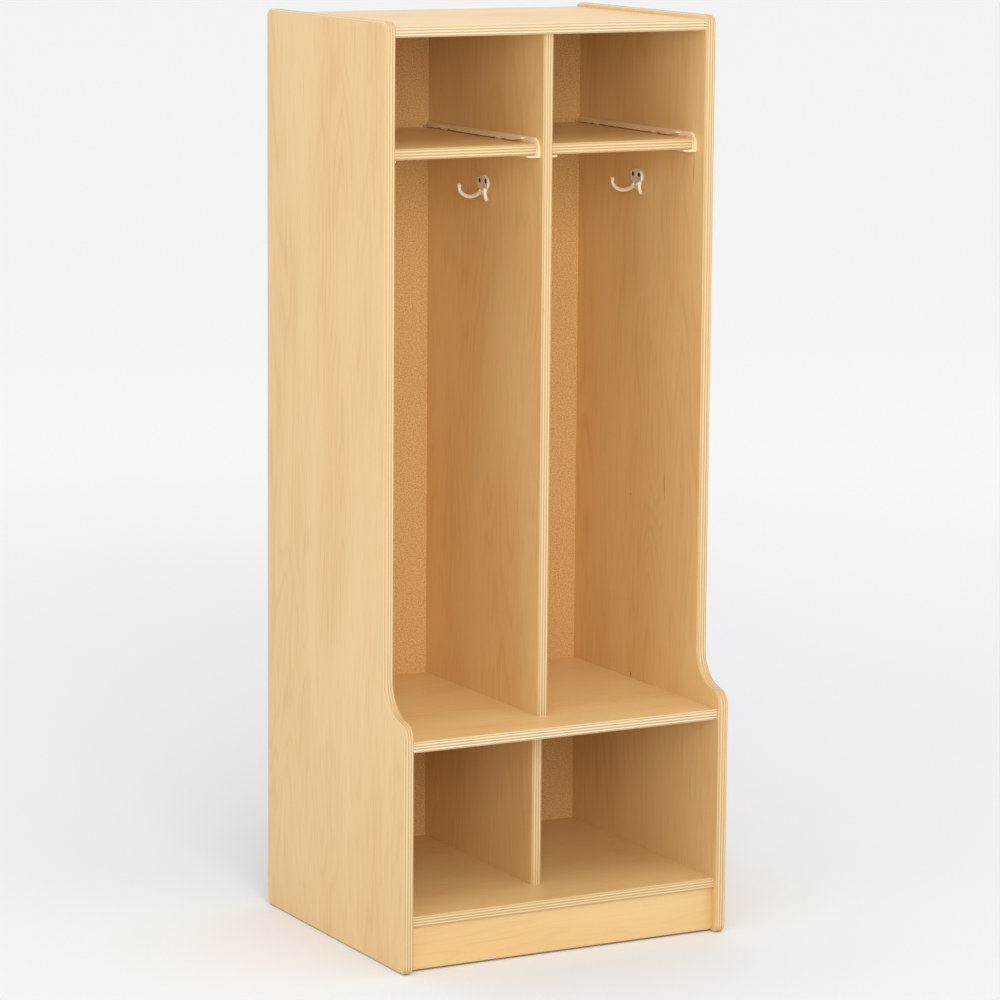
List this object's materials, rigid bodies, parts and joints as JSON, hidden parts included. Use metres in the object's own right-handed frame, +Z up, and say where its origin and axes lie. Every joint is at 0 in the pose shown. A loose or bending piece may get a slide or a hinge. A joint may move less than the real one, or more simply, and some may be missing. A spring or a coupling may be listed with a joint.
{
  "type": "coat locker",
  "caption": "Open plywood coat locker with two bays: a cubby shelf and a double coat hook above a stepped-out seat, boot space below.",
  "frame": {"origin": "on the floor, under the middle of the locker's outer box", "axes": "+X to the right seen from the open front, +Y to the back, +Z up"},
  "size_m": [0.508, 0.432, 1.283],
  "materials": {
    "plywood": "clear satin lacquer on birch plywood",
    "fibreboard": "bare speckled fibreboard, lightly sealed",
    "moulded_plastic": "moulded tan plastic",
    "ivory_enamel": "ivory enamel on a casting",
    "dowel_wood": "bare beech dowel",
    "zinc_plated_steel": "bright zinc plate",
    "bronzed_steel": "dark bronzed steel"
  },
  "bodies": {
    "carcase": {"left_side_panel": "plywood", "right_side_panel": "plywood", "top_panel": "plywood", "upper_divider": "plywood", "lower_divider": "plywood", "seat_shelf": "plywood", "bottom_shelf": "plywood", "kick_plate": "plywood", "rear_base_rail": "plywood", "back_panel": "fibreboard", "left_bay_outer_rail": "moulded_plastic", "left_bay_inner_rail": "moulded_plastic", "right_bay_inner_rail": "moulded_plastic", "right_bay_outer_rail": "moulded_plastic", "left_coat_hook": "ivory_enamel", "right_coat_hook": "ivory_enamel", "top_panel_dowels": "dowel_wood", "seat_shelf_dowels": "dowel_wood", "bottom_shelf_dowels": "dowel_wood", "kick_plate_dowels": "dowel_wood", "rear_base_rail_dowels": "dowel_wood", "upper_divider_dowels": "dowel_wood", "lower_divider_dowels": "dowel_wood", "shelf_rail_screws": "zinc_plated_steel", "coat_hook_screws": "bronzed_steel", "back_panel_screws": "zinc_plated_steel"},
    "left_shelf": {"left_cubby_shelf": "plywood"},
    "right_shelf": {"right_cubby_shelf": "plywood"}
  },
  "joints": [
    {"name": "left_shelf_slide", "type": "slide", "parent": "carcase", "child": "left_shelf", "axis": [0, -1, 0], "range_m": [0, 0.3]},
    {"name": "right_shelf_slide", "type": "slide", "parent": "carcase", "child": "right_shelf", "axis": [0, -1, 0], "range_m": [0, 0.3]}
  ]
}
